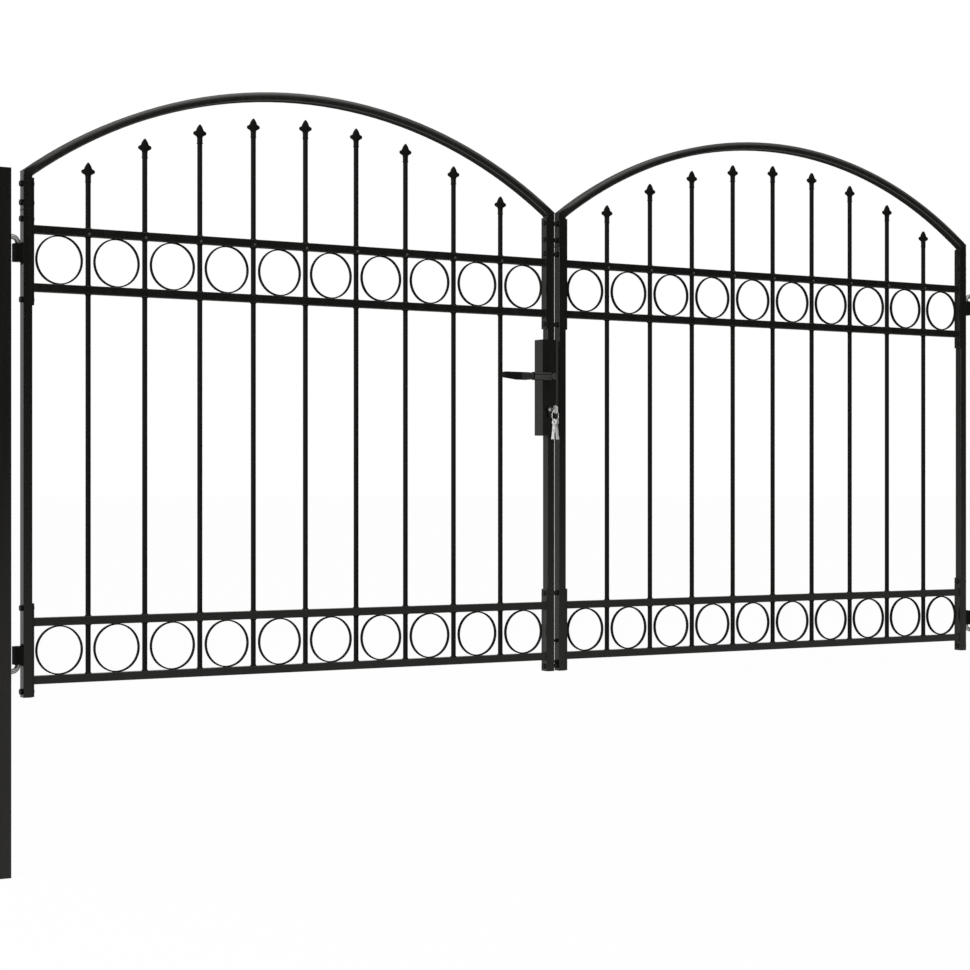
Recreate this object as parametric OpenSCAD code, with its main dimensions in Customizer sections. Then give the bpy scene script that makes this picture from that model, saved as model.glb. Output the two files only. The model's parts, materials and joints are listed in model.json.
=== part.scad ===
// Double-leaf driveway gate: two arched tube leaves with spear-headed bars and
// ring bands, hung on hook bolts between two square posts. Millimetres, +Z up.
// Origin: centre of the left post's foot. X runs along the gate, Y to its back.

/* [Posts] */
// Width and depth of a square post
post_w = 60; // [40:1:120]
// Height of the post's top above the seam of the arch legs
post_rise = 88; // [40:1:200]
// Rounding of a post's long edges
post_edge = 3; // [1:0.5:8]
// Thickness of the flat cap on a post
cap_t = 3; // [1:0.5:8]
// Gap between the left post and the outer edge of its leaf
post_gap = 35; // [30:0.5:60]
// Gap between the right post and the outer edge of its leaf
far_gap = 54.5; // [30:0.5:80]

/* [Leaves] */
// Width of one leaf over its stiles
leaf_w = 1436.5; // [900:0.5:2000]
// Gap between the two meeting stiles
leaf_gap = 15; // [10:0.5:40]
// Height of the bottom rail above the foot of the posts
leaf_lift = 426; // [50:1:600]
// Width of a stile across the face of the gate
stile_w = 21; // [16:0.5:40]
// Depth of a stile
stile_d = 23; // [16:0.5:40]
// Rounding of the tubes' long edges
tube_edge = 1.5; // [0.5:0.25:4]
// How far the stiles run below the bottom rail
stile_drop = 28; // [0:1:80]
// Outer corner of the arch above the bottom rail
corner_z = 1152; // [900:1:1400]
// Rise of the arch above its corners
arch_rise = 236.5; // [100:0.5:400]
// Length of an arch leg from the seam to the corner
leg_h = 87; // [60:1:140]

/* [Bands] */
// Height of a rail
rail_h = 19; // [12:0.5:40]
// Depth of a rail
rail_d = 19; // [12:0.5:40]
// Clear height of a ring band as a share of the clear width of a bay
band_share = 0.8725; // [0.7:0.0025:0.92]
// Underside of the upper band above the bottom rail
upper_z = 882; // [700:1:1000]
// Wall of a ring
ring_t = 3; // [2:0.25:6]
// Depth of a ring
ring_d = 8; // [4:0.5:14]
// Flat on a ring where it is welded to a rail
ring_flat = 0.3; // [0.1:0.05:1]

/* [Bars] */
// Number of bars in a leaf
bar_n = 9; // [3:1:15]
// Diameter of a bar
bar_d = 12; // [8:0.25:16]
// Play of a bar in its punched hole
hole_play = 0.2; // [0.1:0.05:0.5]

/* [Spear heads] */
// Gap between the spear tips and the inside of the arch
tip_gap = 39.5; // [20:0.5:80]
// Length of a spear head with its socket
spear_h = 45; // [36:0.5:80]
// Length of the pointed tip down to its widest
ogive_l = 15; // [12:0.5:30]
// Half width of the pointed tip
ogive_b = 8.6; // [6:0.1:14]
// Bulge of the pointed tip's sides
ogive_bulge = 1.1; // [0.2:0.1:2]
// Thickness of the flat blade
blade_t = 7; // [4:0.5:10]
// Wall of the socket that sits on the bar
socket_t = 0.5; // [0.25:0.05:1.5]
// Height of the socket
socket_h = 14; // [8:0.5:20]
// Half width of the blade over its barbs
barb_x = 15.5; // [12:0.5:24]
// Radius of a barb's round end
barb_r = 4.8; // [2:0.1:6]
// Drop of a barb's end below the tip
barb_z = 21; // [18:0.5:36]
// Half height of a barb's root
barb_root = 12; // [5:0.25:16]

/* [End plates and hinges] */
// Thickness of an end plate
plate_t = 4; // [2:0.25:6]
// How far the upper end plate runs below the upper band
plate_under = 31; // [10:1:60]
// How far the upper end plate runs above the seam
plate_over = 72; // [40:1:80]
// How far the lower end plate runs above the lower band
plate_above = 33; // [10:1:60]
// Width of a square hinge sleeve
sleeve_w = 19; // [18:0.5:30]
// Depth of a hinge sleeve
sleeve_d = 22; // [18:0.5:30]
// Height of a hinge sleeve
sleeve_h = 41; // [30:0.5:60]
// Foot of a hinge sleeve above the lower rail of the upper band
sleeve_hi = 46.5; // [20:0.5:60]
// Foot of a hinge sleeve above the bottom rail of the lower band
sleeve_lo = 26.5; // [20:0.5:60]
// Diameter of a hook bolt
hook_d = 12; // [8:0.5:14]
// Running play of a hook bolt in its sleeve, on the radius
hook_play = 0.05; // [0.02:0.01:0.1]
// Bend radius of a hook bolt
hook_r = 15; // [13:0.5:20]
// Length of a hook bolt beyond its outer nut
hook_end = 8; // [4:1:40]
// Length of a hook pin beyond its sleeve
hook_over = 1; // [0.5:0.5:20]
// Width of a hook bolt's nut over its corners
nut_d = 21.9; // [16:0.1:30]
// Thickness of a hook bolt's nut
nut_t = 10; // [5:0.5:14]

/* [Lock] */
// Width of the lock case
case_w = 41.5; // [36:0.5:70]
// Depth of the lock case
case_d = 37; // [28:0.2:60]
// Gap from the head of the lock case up to the upper band
case_under = 59; // [20:1:120]
// Height of the lock case
case_h = 246; // [180:1:320]
// Distance of the lever's axis from the meeting edge
lever_in = 27; // [26:0.5:34]
// Height of the lever's axis above the foot of the case
lever_z = 150; // [120:0.5:200]
// Length of the lever from its axis
lever_l = 152; // [110:1:200]
// Length of the lever's straight arm
arm_l = 62; // [30:1:80]
// Height of the lever's straight arm
arm_h = 20.5; // [14:0.5:24]
// Height of the grip at its widest
grip_h = 19.5; // [14:0.5:26]
// How far the back of the grip lies below the top of the arm
grip_sink = 1.5; // [0:0.1:4]
// How far the grip is waisted where it leaves the arm
waist = 3; // [0:0.1:5]
// Height of the grip at its tip
grip_tip = 15; // [8:0.5:20]
// Radius of the corners at the grip's tip
grip_r = 4; // [2:0.5:6]
// Length of the tapered part of the grip
taper_l = 42; // [30:1:80]
// Thickness of the lever's arm and grip
lever_t = 13; // [8:0.5:20]
// Distance from the lock case to the grip
lever_off = 21; // [18:0.5:50]
// Diameter of the lever's neck
neck_d = 20; // [16:0.5:24]
// Play between the neck and the lock case
neck_play = 0.5; // [0.2:0.1:1]
// Diameter of the rose on the back of the lock case
rose_d = 20; // [14:0.5:24]
// Thickness of the rose
rose_t = 5; // [3:0.5:10]
// Diameter of the spindle
spindle_d = 9; // [6:0.5:11]
// Running play of the spindle on the radius
spindle_play = 0.05; // [0.02:0.01:0.1]

/* [Keys] */
// Distance of the lock cylinder from the meeting edge
cyl_in = 22; // [14:0.5:28]
// Height of the lock cylinder above the foot of the case
cyl_z = 66; // [40:0.5:90]
// Diameter of the lock cylinder
cyl_d = 17; // [12:0.5:24]
// Drop of the lock cylinder's profile below its barrel
cyl_drop = 15; // [8:0.5:20]
// Width of the lock cylinder's profile
cyl_w = 10; // [8:0.5:12]
// How far the lock cylinder stands out of the case
cyl_out = 6; // [2:0.5:12]
// Thickness of a key
key_t = 2.4; // [1.6:0.1:3]
// Diameter of a key's bow
bow_d = 21; // [18:0.5:28]
// Length of a key's shank outside the lock
shank_l = 12; // [6:0.5:30]
// Height of a key's blade
shank_h = 8; // [6:0.5:10]
// Diameter of a loose key's bow
loose_bow = 15; // [12:0.5:18]
// Length of a loose key's blade
blade_l = 38; // [20:0.5:45]
// Diameter of the hole in a bow
eye_d = 6; // [5:0.25:8]
// Diameter of the key ring over all
keyring_d = 30; // [26:0.5:40]
// Wire of the key ring
wire_d = 2; // [1.2:0.1:2.4]
// How far a hanging piece beds into the wire or eye it hangs on
hang_bite = 0.1; // [0.05:0.01:0.2]
// Distance of a loose key from the middle of the ring
loose_x = 3; // [2.8:0.1:5]
// Lean of a loose key in degrees
loose_lean = 10; // [0:0.5:10]
// Turn of the ring and its loose keys about the vertical in degrees
ring_turn = 20; // [-30:1:30]

/* [Hidden] */
// facets named for true curves
$fn = 96;
arch_fn = 720;
// flats in a rounded edge of the bent tube
bend_flats = 3;
// overrun of a cut
over = 1;
black = [0.06, 0.06, 0.055];
zinc = [0.62, 0.62, 0.6];
leaf_x = post_w / 2 + post_gap;
mid_x = leaf_x + leaf_w + leaf_gap / 2;
hinge_x = leaf_x - sleeve_w / 2;
half_w = leaf_w / 2;
arch_r = (half_w * half_w + arch_rise * arch_rise) / (2 * arch_rise);
arch_cz = corner_z + arch_rise - arch_r;
arch_rm = arch_r - stile_w / 2;
arch_ri = arch_r - stile_w;
tip_r = arch_ri - tip_gap;
seam_z = corner_z - leg_h;
post_h = leaf_lift + seam_z + post_rise;
rail_x = stile_w + plate_t;
rail_l = leaf_w - 2 * rail_x;
bay_w = (rail_l - bar_n * bar_d) / (bar_n + 1);
bar_pitch = bay_w + bar_d;
bar_x = rail_x + bay_w + bar_d / 2;
band_gap = bay_w * band_share;
lower_top_z = rail_h + band_gap;
upper_top_z = upper_z + rail_h + band_gap;
upper_plate_z = upper_z - plate_under;
upper_plate_top = seam_z + plate_over;
lower_plate_top = lower_top_z + rail_h + plate_above;
ring_r = band_gap / 2 + ring_flat;
// sides of the pointed tip: arcs over the chord from the tip to its widest
ogive_c = sqrt(ogive_l * ogive_l + ogive_b * ogive_b);
ogive_r = (ogive_c * ogive_c / 4 + ogive_bulge * ogive_bulge) / (2 * ogive_bulge);
ogive_in = (ogive_r - ogive_bulge) / ogive_c;
// angle at which a barb's arm runs into its round end, and how deep it beds there
barb_turn = 55;
barb_share = 0.9;
barb_end = barb_x - barb_r;
// the mitre between leg and arch bisects the angle of their centre lines
miter_dx = half_w - stile_w / 2;
miter_tilt = asin(miter_dx / arch_rm);
miter_z = arch_cz + sqrt(arch_rm * arch_rm - miter_dx * miter_dx);
case_x = leaf_w - case_w;
case_z = upper_z - case_under - case_h;
case_front = -case_d / 2;
lever_x = leaf_w - lever_in;
cyl_x = leaf_w - cyl_in;
lock_z = case_z + cyl_z;
key_y = case_front - cyl_out;
bow_y = key_y - shank_l - bow_d / 2;
keyring_r = keyring_d / 2 - wire_d / 2;
keyring_z = lock_z - eye_d / 2 + wire_d / 2 - hang_bite - keyring_r;
loose_wire_z = keyring_z - sqrt(keyring_r * keyring_r - loose_x * loose_x);
loose_z = loose_wire_z - eye_d / 2 + wire_d / 2 + hang_bite;

function bar_at(i) = bar_x + i * bar_pitch;
function tip_z(x) = arch_cz + sqrt(tip_r * tip_r - (x - half_w) * (x - half_w));

// placing of a leaf: local X from its outer edge, local Z from the bottom rail
module at_leaf() {
  translate([leaf_x, 0, leaf_lift]) children();
}

// the right leaf and post mirror the left ones about the middle of the gate
module as_right() {
  translate([2 * mid_x, 0, 0]) mirror([1, 0, 0]) children();
}

// the right post stands further out, on longer hook bolts
module at_far_post() {
  translate([post_gap - far_gap, 0, 0]) children();
}

// turns a flat outline in X and Z into a plate of thickness t about Y = 0
module plate_xz(t) {
  translate([0, t / 2, 0]) rotate([90, 0, 0]) linear_extrude(t) children();
}

// block with its middle plane on Y = 0
module block(x, z, w, d, h) {
  translate([x, -d / 2, z]) cube([w, d, h]);
}

// tube section with rounded corners, centred
module section(w, d, r) {
  square([w - 2 * r, d], center = true);
  square([w, d - 2 * r], center = true);
  for (i = [-1, 1], j = [-1, 1]) translate([i * (w / 2 - r), j * (d / 2 - r)]) circle(r = r);
}

// upright tube from z0 to z1 with its outer side at x
module upright(x, z0, z1) {
  translate([x + stile_w / 2, 0, z0]) linear_extrude(z1 - z0) section(stile_w, stile_d, tube_edge);
}

module post_body() {
  linear_extrude(post_h - cap_t) section(post_w, post_w, post_edge);
}

module cap_body() {
  translate([0, 0, post_h - cap_t]) linear_extrude(cap_t) section(post_w, post_w, post_edge);
}

// hook bolt through a post that stands gap away from the leaf; its pin points down (dir -1) or up (dir 1)
module hook(gap, leg_z, dir) {
  pin_l = sleeve_h + hook_over;
  near_x = leaf_x - gap;
  nut_x = near_x - post_w - nut_t;
  translate([0, 0, leg_z]) {
    translate([near_x, 0, 0]) rotate([0, 90, 0]) cylinder(d = hook_d, h = hinge_x - hook_r - near_x);
    translate([hinge_x - hook_r, 0, dir * hook_r]) rotate([90, 0, 0]) rotate([0, 0, dir < 0 ? 0 : -90])
      rotate_extrude(angle = 90) translate([hook_r, 0]) circle(d = hook_d);
    translate([hinge_x, 0, dir < 0 ? -hook_r - pin_l : hook_r]) cylinder(d = hook_d, h = pin_l);
    translate([nut_x, 0, 0]) rotate([0, 90, 0]) cylinder(d = nut_d, h = nut_t, $fn = 6);
    translate([nut_x - hook_end, 0, 0]) rotate([0, 90, 0]) cylinder(d = hook_d, h = hook_end);
  }
}

module hooks_body(gap) {
  hook(gap, leaf_lift + upper_z + rail_h + sleeve_hi + sleeve_h + hook_r, -1);
  hook(gap, leaf_lift + rail_h + sleeve_lo - hook_r, 1);
}

// tube section of the arch and its legs, each long edge rounded in narrow flats
module bent_section() {
  polygon([for (q = [0 : 3]) for (k = [0 : bend_flats])
    let (a = 90 * (q + k / bend_flats), sx = q == 0 || q == 3 ? 1 : -1, sy = q < 2 ? 1 : -1)
      [sx * (stile_w / 2 - tube_edge) + tube_edge * cos(a),
       sy * (stile_d / 2 - tube_edge) + tube_edge * sin(a)]]);
}

// side of the mitre that faces the arch, on the outer end of the leaf
module miter_side() {
  translate([stile_w / 2, 0, miter_z]) rotate([0, (90 - miter_tilt) / 2, 0])
    translate([-leaf_w, -stile_d, 0]) cube([2 * leaf_w, 2 * stile_d, 2 * leaf_w]);
}

// bent tube between the mitres
module arch_body() {
  at_leaf() intersection() {
    translate([half_w, 0, arch_cz]) rotate([90, 0, 0]) rotate([0, 0, 90 - 2 * miter_tilt])
      rotate_extrude(angle = 4 * miter_tilt, $fn = arch_fn)
        translate([arch_rm, 0]) bent_section();
    miter_side();
    translate([leaf_w, 0, 0]) mirror([1, 0, 0]) miter_side();
  }
}

// straight leg under each mitre
module legs_body() {
  at_leaf() for (s = [0, 1]) translate([s * leaf_w, 0, 0]) mirror([s, 0, 0]) difference() {
    translate([stile_w / 2, 0, seam_z]) linear_extrude(leg_h + stile_w) bent_section();
    miter_side();
  }
}

module stile_body(x) {
  at_leaf() upright(x, -stile_drop, seam_z);
}

module rail_body(z, pierced) {
  at_leaf() difference() {
    translate([rail_x, 0, z + rail_h / 2]) rotate([90, 0, 90])
      linear_extrude(rail_l) section(rail_d, rail_h, tube_edge);
    if (pierced) for (i = [0 : bar_n - 1])
      translate([bar_at(i), 0, z - over]) cylinder(d = bar_d + 2 * hole_play, h = rail_h + 2 * over);
  }
}

module bars_body() {
  at_leaf() for (i = [0 : bar_n - 1])
    translate([bar_at(i), 0, rail_h]) cylinder(d = bar_d, h = tip_z(bar_at(i)) - spear_h - rail_h);
}

// half of the barbs: a tapered arm from the middle of the blade to a round end
module barb(s) {
  arm_x = s * (barb_end + barb_share * barb_r * cos(barb_turn));
  arm_z = barb_share * barb_r * sin(barb_turn);
  translate([s * barb_end, -barb_z]) circle(r = barb_r);
  polygon([[0, -barb_z + barb_root], [arm_x, -barb_z + arm_z], [arm_x, -barb_z - arm_z],
    [0, -barb_z - barb_root]]);
}

// pointed arch of two arcs, two barbs and the neck, with the tip at the origin
module spear_outline() {
  intersection() {
    intersection_for (s = [-1, 1])
      translate([s * (ogive_b / 2 - ogive_in * ogive_l), -ogive_l / 2 - ogive_in * ogive_b])
        circle(r = ogive_r);
    translate([-ogive_b, -ogive_l]) square([2 * ogive_b, ogive_l + over]);
  }
  barb(1);
  barb(-1);
  translate([-bar_d / 2, socket_h - spear_h]) square([bar_d, spear_h - socket_h - ogive_l]);
}

module spears_body() {
  at_leaf() for (i = [0 : bar_n - 1]) translate([bar_at(i), 0, tip_z(bar_at(i))]) {
    plate_xz(blade_t) spear_outline();
    translate([0, 0, -spear_h]) cylinder(d = bar_d + 2 * socket_t, h = socket_h);
  }
}

module rings_body(z) {
  at_leaf() for (i = [0 : bar_n]) translate([bar_at(i) - bar_pitch / 2, 0, z + band_gap / 2])
    intersection() {
      plate_xz(ring_d) difference() {
        circle(r = ring_r);
        circle(r = ring_r - ring_t);
      }
      block(-ring_r - over, -band_gap / 2, 2 * (ring_r + over), 2 * ring_d, band_gap);
    }
}

module plates_body(z0, z1) {
  at_leaf() for (x = [stile_w, leaf_w - stile_w - plate_t]) block(x, z0, plate_t, stile_d, z1 - z0);
}

module sleeves_body() {
  at_leaf() for (z = [rail_h + sleeve_lo, upper_z + rail_h + sleeve_hi]) difference() {
    block(-sleeve_w, z, sleeve_w, sleeve_d, sleeve_h);
    translate([-sleeve_w / 2, 0, z - over]) cylinder(r = hook_d / 2 + hook_play, h = sleeve_h + 2 * over);
  }
}

// folded case around the meeting stile, with a hole for the spindle
module case_body() {
  at_leaf() difference() {
    block(case_x, case_z, case_w, case_d, case_h);
    upright(leaf_w - stile_w, case_z - over, case_z + case_h + over);
    block(leaf_w - tube_edge, case_z - over, tube_edge + over, stile_d, case_h + 2 * over);
    translate([lever_x, case_d, case_z + lever_z]) rotate([90, 0, 0])
      cylinder(r = spindle_d / 2 + spindle_play, h = 2 * case_d);
  }
}

// profile cylinder standing out of both faces of the lock case
module cylinders_body() {
  at_leaf() for (s = [0, 1]) mirror([0, s, 0]) translate([cyl_x, case_front, lock_z]) rotate([90, 0, 0])
    linear_extrude(cyl_out) {
      circle(d = cyl_d);
      translate([-cyl_w / 2, -cyl_drop]) square([cyl_w, cyl_drop]);
      translate([0, -cyl_drop]) circle(d = cyl_w);
    }
}

// flat key: bow with an eye and a blade, drawn pointing along +X from the bow
module key_outline(bow, blade) {
  difference() {
    union() {
      circle(d = bow);
      translate([0, -shank_h / 2]) square([blade, shank_h]);
    }
    circle(d = eye_d);
  }
}

module key_body() {
  at_leaf() translate([cyl_x - key_t / 2, bow_y, lock_z]) rotate([90, 0, 90])
    linear_extrude(key_t) key_outline(bow_d, bow_d / 2 + shank_l);
}

module keyring_body() {
  at_leaf() translate([cyl_x, bow_y, keyring_z]) rotate([90, 0, ring_turn])
    rotate_extrude() translate([keyring_r, 0]) circle(d = wire_d);
}

// two keys hang side by side from the foot of the ring and lean apart
module loose_body() {
  at_leaf() translate([cyl_x, bow_y, loose_z]) rotate([0, 0, ring_turn]) for (s = [-1, 1])
    translate([s * loose_x, 0, 0]) rotate([0, -s * loose_lean, 0])
      translate([-key_t / 2, 0, 0]) rotate([0, 90, 0])
        linear_extrude(key_t) key_outline(loose_bow, loose_bow / 2 + blade_l);
}

// lever from the front: round boss, straight arm, and a waisted grip that tapers below to a rounded tip
module lever_outline() {
  top = arm_h / 2 - grip_sink;
  circle(d = neck_d);
  translate([-arm_l, -arm_h / 2]) square([arm_l, arm_h]);
  polygon([[-arm_l + over, arm_h / 2 - waist], [-arm_l - grip_h, top], [-lever_l + grip_r, top],
    [-lever_l + grip_r, top - grip_tip], [-lever_l + taper_l, top - grip_h],
    [-arm_l - grip_h, top - grip_h], [-arm_l + over, waist / 2 - arm_h / 2]]);
  translate([-lever_l, top - grip_tip + grip_r]) square([grip_r, grip_tip - 2 * grip_r]);
  for (z = [top - grip_r, top - grip_tip + grip_r]) translate([-lever_l + grip_r, z]) circle(r = grip_r);
}

module lever_body() {
  at_leaf() translate([lever_x, case_front - neck_play, case_z + lever_z]) rotate([90, 0, 0]) {
    cylinder(d = neck_d, h = lever_off - neck_play);
    translate([0, 0, lever_off - neck_play]) linear_extrude(lever_t) lever_outline();
  }
}

// round plate on the back of the lock case, turning with the lever
module rose_body() {
  at_leaf() translate([lever_x, case_d / 2 + neck_play + rose_t, case_z + lever_z]) rotate([90, 0, 0])
    cylinder(d = rose_d, h = rose_t);
}

module spindle_body() {
  at_leaf() translate([lever_x, case_d / 2 + neck_play, case_z + lever_z]) rotate([90, 0, 0])
    cylinder(d = spindle_d, h = case_d + 2 * neck_play);
}

module left_post() { color(black) post_body(); }
module right_post() { color(black) as_right() at_far_post() post_body(); }
module left_post_cap() { color(black) cap_body(); }
module right_post_cap() { color(black) as_right() at_far_post() cap_body(); }
module left_hook_bolts() { color(zinc) hooks_body(post_gap); }
module right_hook_bolts() { color(zinc) as_right() hooks_body(far_gap); }
module left_arch() { color(black) arch_body(); }
module right_arch() { color(black) as_right() arch_body(); }
module left_arch_legs() { color(black) legs_body(); }
module right_arch_legs() { color(black) as_right() legs_body(); }
module left_hinge_stile() { color(black) stile_body(0); }
module right_hinge_stile() { color(black) as_right() stile_body(0); }
module left_meeting_stile() { color(black) stile_body(leaf_w - stile_w); }
module right_meeting_stile() { color(black) as_right() stile_body(leaf_w - stile_w); }
module left_upper_top_rail() { color(black) rail_body(upper_top_z, true); }
module right_upper_top_rail() { color(black) as_right() rail_body(upper_top_z, true); }
module left_upper_bottom_rail() { color(black) rail_body(upper_z, true); }
module right_upper_bottom_rail() { color(black) as_right() rail_body(upper_z, true); }
module left_lower_top_rail() { color(black) rail_body(lower_top_z, true); }
module right_lower_top_rail() { color(black) as_right() rail_body(lower_top_z, true); }
module left_lower_bottom_rail() { color(black) rail_body(0, false); }
module right_lower_bottom_rail() { color(black) as_right() rail_body(0, false); }
module left_bars() { color(black) bars_body(); }
module right_bars() { color(black) as_right() bars_body(); }
module left_spear_heads() { color(black) spears_body(); }
module right_spear_heads() { color(black) as_right() spears_body(); }
module left_upper_rings() { color(black) rings_body(upper_z + rail_h); }
module right_upper_rings() { color(black) as_right() rings_body(upper_z + rail_h); }
module left_lower_rings() { color(black) rings_body(rail_h); }
module right_lower_rings() { color(black) as_right() rings_body(rail_h); }
module left_upper_end_plates() { color(black) plates_body(upper_plate_z, upper_plate_top); }
module right_upper_end_plates() { color(black) as_right() plates_body(upper_plate_z, upper_plate_top); }
module left_lower_end_plates() { color(black) plates_body(-stile_drop, lower_plate_top); }
module right_lower_end_plates() { color(black) as_right() plates_body(-stile_drop, lower_plate_top); }
module left_hinge_sleeves() { color(black) sleeves_body(); }
module right_hinge_sleeves() { color(black) as_right() sleeves_body(); }
module lock_case() { color(black) case_body(); }
module lock_cylinders() { color(zinc) cylinders_body(); }
module door_key() { color(zinc) key_body(); }
module key_ring() { color(zinc) keyring_body(); }
module loose_keys() { color(zinc) loose_body(); }
module front_lever() { color(black) lever_body(); }
module back_rose() { color(black) rose_body(); }
module lever_spindle() { color(zinc) spindle_body(); }

left_post();
right_post();
left_post_cap();
right_post_cap();
left_hook_bolts();
right_hook_bolts();
left_arch();
left_arch_legs();
left_hinge_stile();
left_meeting_stile();
left_upper_top_rail();
left_upper_bottom_rail();
left_lower_top_rail();
left_lower_bottom_rail();
left_bars();
left_spear_heads();
left_upper_rings();
left_lower_rings();
left_upper_end_plates();
left_lower_end_plates();
left_hinge_sleeves();
right_arch();
right_arch_legs();
right_hinge_stile();
right_meeting_stile();
right_upper_top_rail();
right_upper_bottom_rail();
right_lower_top_rail();
right_lower_bottom_rail();
right_bars();
right_spear_heads();
right_upper_rings();
right_lower_rings();
right_upper_end_plates();
right_lower_end_plates();
right_hinge_sleeves();
lock_case();
lock_cylinders();
door_key();
key_ring();
loose_keys();
front_lever();
back_rose();
lever_spindle();
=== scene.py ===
"""Looks of a black steel driveway gate with two arched leaves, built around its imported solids.

Lengths are metres in the part's own frame: +Z up, the foot of the left post at the origin, and the
gate's face towards -Y. The fixings, welds and seams are worked out here as numpy surfaces.
"""

import json
import math

import bpy
import numpy as np
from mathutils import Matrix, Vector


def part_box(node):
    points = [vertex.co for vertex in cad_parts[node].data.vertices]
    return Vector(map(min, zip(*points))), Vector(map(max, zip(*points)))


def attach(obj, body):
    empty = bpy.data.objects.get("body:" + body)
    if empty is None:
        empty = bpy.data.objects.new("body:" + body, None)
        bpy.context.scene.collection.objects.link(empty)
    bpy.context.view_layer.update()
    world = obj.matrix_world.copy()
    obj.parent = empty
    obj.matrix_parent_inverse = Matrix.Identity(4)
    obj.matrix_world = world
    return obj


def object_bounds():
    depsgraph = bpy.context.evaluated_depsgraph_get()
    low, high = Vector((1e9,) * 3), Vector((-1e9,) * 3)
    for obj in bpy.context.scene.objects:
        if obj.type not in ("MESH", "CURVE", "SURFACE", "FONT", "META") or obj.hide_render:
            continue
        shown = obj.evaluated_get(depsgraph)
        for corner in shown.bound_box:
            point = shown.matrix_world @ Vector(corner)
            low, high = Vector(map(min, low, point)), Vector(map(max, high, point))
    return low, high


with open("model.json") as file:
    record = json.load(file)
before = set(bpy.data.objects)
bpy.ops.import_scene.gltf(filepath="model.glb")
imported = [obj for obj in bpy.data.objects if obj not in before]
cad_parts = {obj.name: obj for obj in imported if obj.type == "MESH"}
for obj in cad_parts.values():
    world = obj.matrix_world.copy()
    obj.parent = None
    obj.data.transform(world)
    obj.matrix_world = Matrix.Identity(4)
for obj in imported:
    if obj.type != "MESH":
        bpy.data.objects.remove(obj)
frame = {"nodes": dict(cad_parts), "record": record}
solid_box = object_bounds()

# Camera, from the photograph's vanishing lines: focal length and horizon in pixels, turn in degrees
IMAGE = 970
FOCAL = 2298.0
HORIZON = 492.0
CAMERA_AT = (-1.8316, -4.8990, 0.858)
CAMERA_TURN = 32.56
SENSOR = 36.0
FARTHEST = 2000.0

# Sizes of the solids that their boxes don't give
MM = 0.001
ARCH_RISE = 236.5 * MM
CORNER_Z = 1152.0 * MM
TUBE_EDGE = 1.5 * MM
BAR_R = 6.0 * MM
SLEEVE_H = 41.0 * MM
SLEEVE_HI = 46.5 * MM
SLEEVE_LO = 26.5 * MM
SPEAR_H = 45.0 * MM
BLADE_HALF = 3.5 * MM
HOOK_R = 6.0 * MM
NUT_R = 10.95 * MM
NUT_T = 10.0 * MM
STUB_L = 8.0 * MM
LEVER_IN = 27.0 * MM
COLUMN_GAP = 50.0 * MM
RAILS = ("upper_top", "upper_bottom", "lower_top", "lower_bottom")

# Fixings, and how far the foot of each lies under the surface that carries it
SUNK = 0.4 * MM
ROUND_SIDES = 20
NEAR_TOP = 0.47 * math.pi
HEX_SIDES = 36
HEX_TOP_SHARES = (0.99, 0.6)
HEX_ACROSS = 13.0 * MM
HEX_TALL = 4.8 * MM
HEX_EDGE = 1.1 * MM
END_TALL = 2.8 * MM
SEAM_BOLTS = np.array([58.6, 16.2, -20.3]) * MM
BOLT_UNDER_BAND = 18.6 * MM
BOLT_OVER_BAND = 22.4 * MM
BOLT_UNDER_RAIL = 15.6 * MM
PIN_ACROSS = 10.0 * MM
PIN_TALL = 9.0 * MM
PIN_HEIGHTS = np.array([49.0, -5.0]) * MM
RIVET_ACROSS = 7.6 * MM
RIVET_TALL = 2.0 * MM
RIVET_DROP = 3.5 * MM
PLUG_PLAY = 0.5 * MM
PLUG_EDGE = [(0, -SUNK), (0, 0.4 * MM), (0.8 * MM, 0.9 * MM)]

# Welds: the profile of a fillet round a bar, half lengths and height of a drop, and radius of a run
FILLET_OUT = np.array([2.2, 2.2, 1.6, 0.8, -0.3]) * MM
FILLET_UP = np.array([-0.4, 0.2, 1.3, 2.1, 2.6]) * MM
RING_DROP = (3.8 * MM, 9.0 * MM, 2.2 * MM)
FAR_DROP = (8.0 * MM, 6.4 * MM, 2.9 * MM)
NEAR_DROP = (7.0 * MM, 4.0 * MM, 2.4 * MM)
SEAM_RUN = 1.1 * MM
MITRE_RUN = 0.8 * MM
RAIL_RUN = 1.3 * MM

# Crowns of the bent tube, with the places across it from 1 outside to -1 inside
CROWN = 2.0 * MM
CROWN_FADE = 45.0 * MM
CROWN_SINK = 0.15 * MM
CROWN_FOOT = 1.0 * MM
CROWN_RINGS = 121
CROWN_PLACES = np.concatenate([np.linspace(1, 0, 7), [-0.4, -0.8, -0.92, -0.97, -1]])
MITRE_SHARE = 0.5
END_SHARE = 0.999
EDGE_SHARE = 0.4

# Spear heads, measured from the tip
OUTLINE_POINTS = 60
ARC_STEPS = 9
POINT_HALF = 8.6 * MM
POINT_TALL = 15.0 * MM
POINT_BULGE = 1.1 * MM
POINT_SHARE = 0.94
BARB_ROOT = (8.4 * MM, -14.4 * MM)
BARB_OUT = 10.7 * MM
BARB_DOWN = 21.0 * MM
BARB_R = 4.8 * MM
BARB_SPAN = 55.0
SPEAR_NECK = (29.2 * MM, 31.0 * MM)
SPEAR_SPINE = (-28.0 * MM, -5.0 * MM)
SPEAR_SHARE = 0.965
SPEAR_SINK = 0.2 * MM
SPEAR_CROWN = 2.2 * MM
SOCKET_SIDES = 28
SOCKET_R = BAR_R + 0.2 * MM
SOCKET_FOOT = 0.6 * MM
SOCKET_TALL = 12.6 * MM
SOCKET_RUN = 1.3 * MM
SOCKET_LIP = 0.9 * MM

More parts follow.
